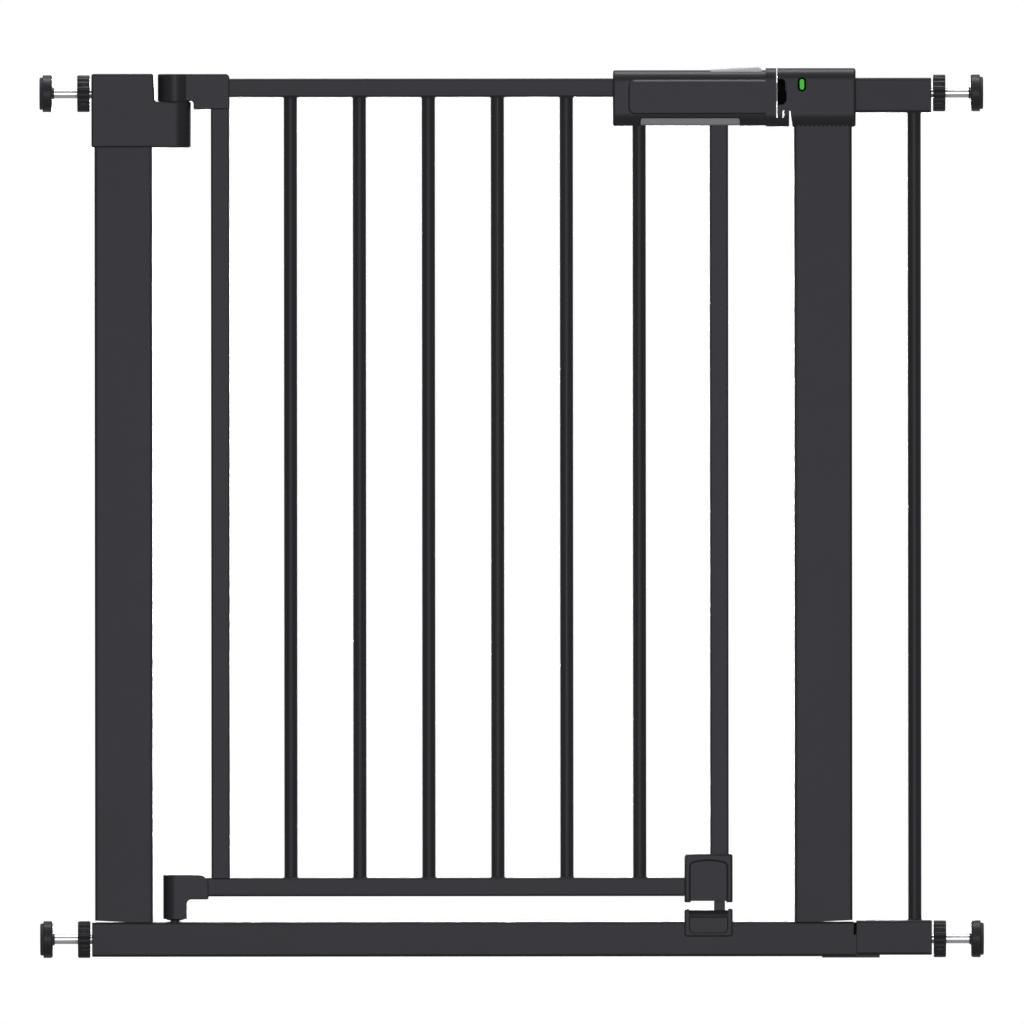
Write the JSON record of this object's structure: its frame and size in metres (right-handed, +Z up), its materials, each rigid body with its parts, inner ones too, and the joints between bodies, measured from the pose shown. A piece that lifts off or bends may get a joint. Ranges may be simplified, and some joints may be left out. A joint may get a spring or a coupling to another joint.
{
  "type": "safety baby gate",
  "caption": "Pressure-mounted safety gate with a barred self-closing door, squeeze-and-slide latch handle, threshold rail, side extension and wall pads on screw spindles.",
  "frame": {"origin": "middle between the wall pads, on the centre plane of the tubes, level with the underside", "axes": "+X along the doorway from the hinge side to the latch side, +Y away from the viewer in the picture, +Z up"},
  "size_m": [0.8166, 0.0398, 0.7712],
  "materials": {
    "charcoal_paint": "satin powder coat",
    "charcoal_plastic": "satin moulded",
    "grey_plastic": "satin moulded",
    "light_grey_plastic": "satin moulded",
    "indicator_plastic": "smooth",
    "steel": "plain",
    "spring_steel": "drawn wire",
    "zinc_plate": "bright zinc",
    "pad_rubber": "matt"
  },
  "bodies": {
    "frame": {"threshold_rail": "charcoal_paint", "hinge_post": "charcoal_paint", "latch_post": "charcoal_paint", "hinge_housing": "charcoal_plastic", "knuckle_plug": "charcoal_plastic", "closing_spring": "spring_steel", "lower_hinge_bush": "charcoal_plastic", "catch_housing": "charcoal_plastic", "strike_insert": "charcoal_plastic", "indicator_spring": "spring_steel", "lower_catch": "charcoal_plastic", "extension_top_tube": "charcoal_paint", "extension_bottom_tube": "charcoal_paint", "extension_bar": "charcoal_paint", "joint_plate": "charcoal_paint", "tube_end_plugs": "charcoal_plastic", "extension_pegs": "steel", "post_screws": "steel"},
    "door": {"hinge_stile": "charcoal_paint", "latch_stile": "charcoal_paint", "door_top_rail": "charcoal_paint", "door_bottom_rail": "charcoal_paint", "door_bars": "charcoal_paint", "top_rail_plug": "charcoal_plastic", "hinge_arm": "charcoal_plastic", "upper_hinge_pin": "steel", "lower_hinge_block": "charcoal_plastic", "lower_hinge_pin": "steel", "corner_block": "charcoal_plastic", "handle_front_shell": "charcoal_plastic", "handle_rear_shell": "charcoal_plastic", "handle_screws": "steel", "latch_guide": "charcoal_plastic", "latch_spring": "spring_steel", "squeeze_springs": "spring_steel"},
    "latch": {"thumb_slider": "light_grey_plastic", "latch_bolt": "steel"},
    "squeeze_grip": {"squeeze_bar": "grey_plastic", "cross_pin": "steel", "pull_rod": "steel", "lower_bolt": "charcoal_plastic"},
    "indicator": {"indicator_flag": "indicator_plastic"},
    "wheel_left_lower": {"hand_wheel_left_lower": "charcoal_plastic"},
    "spindle_left_lower": {"spindle_rod_left_lower": "zinc_plate", "pad_cup_left_lower": "charcoal_plastic", "pad_face_left_lower": "pad_rubber"},
    "wheel_left_upper": {"hand_wheel_left_upper": "charcoal_plastic"},
    "spindle_left_upper": {"spindle_rod_left_upper": "zinc_plate", "pad_cup_left_upper": "charcoal_plastic", "pad_face_left_upper": "pad_rubber"},
    "wheel_right_lower": {"hand_wheel_right_lower": "charcoal_plastic"},
    "spindle_right_lower": {"spindle_rod_right_lower": "zinc_plate", "pad_cup_right_lower": "charcoal_plastic", "pad_face_right_lower": "pad_rubber"},
    "wheel_right_upper": {"hand_wheel_right_upper": "charcoal_plastic"},
    "spindle_right_upper": {"spindle_rod_right_upper": "zinc_plate", "pad_cup_right_upper": "charcoal_plastic", "pad_face_right_upper": "pad_rubber"}
  },
  "joints": [
    {"name": "door_swing", "type": "hinge", "parent": "frame", "child": "door", "pos_m": [-0.29165, 0, 0.4], "axis": [0, 0, 1], "range_deg": [-90, 90], "stiffness_Nm_per_rad": 0.8, "deforming": ["closing_spring"]},
    {"name": "thumb_slide", "type": "slide", "parent": "door", "child": "latch", "axis": [-1, 0, 0], "range_m": [0, 0.007], "stiffness_N_per_m": 500, "springref_m": -0.008, "deforming": ["latch_spring"]},
    {"name": "squeeze_lift", "type": "slide", "parent": "door", "child": "squeeze_grip", "axis": [0, 0, 1], "range_m": [0, 0.006], "stiffness_N_per_m": 700, "springref_m": -0.008, "deforming": ["squeeze_springs"]},
    {"name": "indicator_slide", "type": "slide", "parent": "frame", "child": "indicator", "axis": [-1, 0, 0], "range_m": [0, 0.0063], "deforming": ["indicator_spring"]},
    {"name": "wheel_turn_left_lower", "type": "hinge", "parent": "frame", "child": "wheel_left_lower", "pos_m": [-0.37, 0, 0.0161], "axis": [1, 0, 0], "range_deg": [-5060, 5060]},
    {"name": "spindle_slide_left_lower", "type": "slide", "parent": "frame", "child": "spindle_left_lower", "axis": [-1, 0, 0], "range_m": [-0.0175, 0.0175]},
    {"name": "wheel_turn_left_upper", "type": "hinge", "parent": "frame", "child": "wheel_left_upper", "pos_m": [-0.37, 0, 0.7482], "axis": [1, 0, 0], "range_deg": [-5060, 5060]},
    {"name": "spindle_slide_left_upper", "type": "slide", "parent": "frame", "child": "spindle_left_upper", "axis": [-1, 0, 0], "range_m": [-0.0175, 0.0175]},
    {"name": "wheel_turn_right_lower", "type": "hinge", "parent": "frame", "child": "wheel_right_lower", "pos_m": [0.37, 0, 0.0161], "axis": [-1, 0, 0], "range_deg": [-5060, 5060]},
    {"name": "spindle_slide_right_lower", "type": "slide", "parent": "frame", "child": "spindle_right_lower", "axis": [1, 0, 0], "range_m": [-0.0175, 0.0175]},
    {"name": "wheel_turn_right_upper", "type": "hinge", "parent": "frame", "child": "wheel_right_upper", "pos_m": [0.37, 0, 0.7482], "axis": [-1, 0, 0], "range_deg": [-5060, 5060]},
    {"name": "spindle_slide_right_upper", "type": "slide", "parent": "frame", "child": "spindle_right_upper", "axis": [1, 0, 0], "range_m": [-0.0175, 0.0175]}
  ],
  "couplings": [
    {"joint": "indicator_slide", "follows": "thumb_slide", "ratio": 0.9},
    {"joint": "wheel_turn_left_lower", "follows": "spindle_slide_left_lower", "rad_per_m": 5026.5},
    {"joint": "wheel_turn_left_upper", "follows": "spindle_slide_left_upper", "rad_per_m": 5026.5},
    {"joint": "wheel_turn_right_lower", "follows": "spindle_slide_right_lower", "rad_per_m": 5026.5},
    {"joint": "wheel_turn_right_upper", "follows": "spindle_slide_right_upper", "rad_per_m": 5026.5}
  ]
}
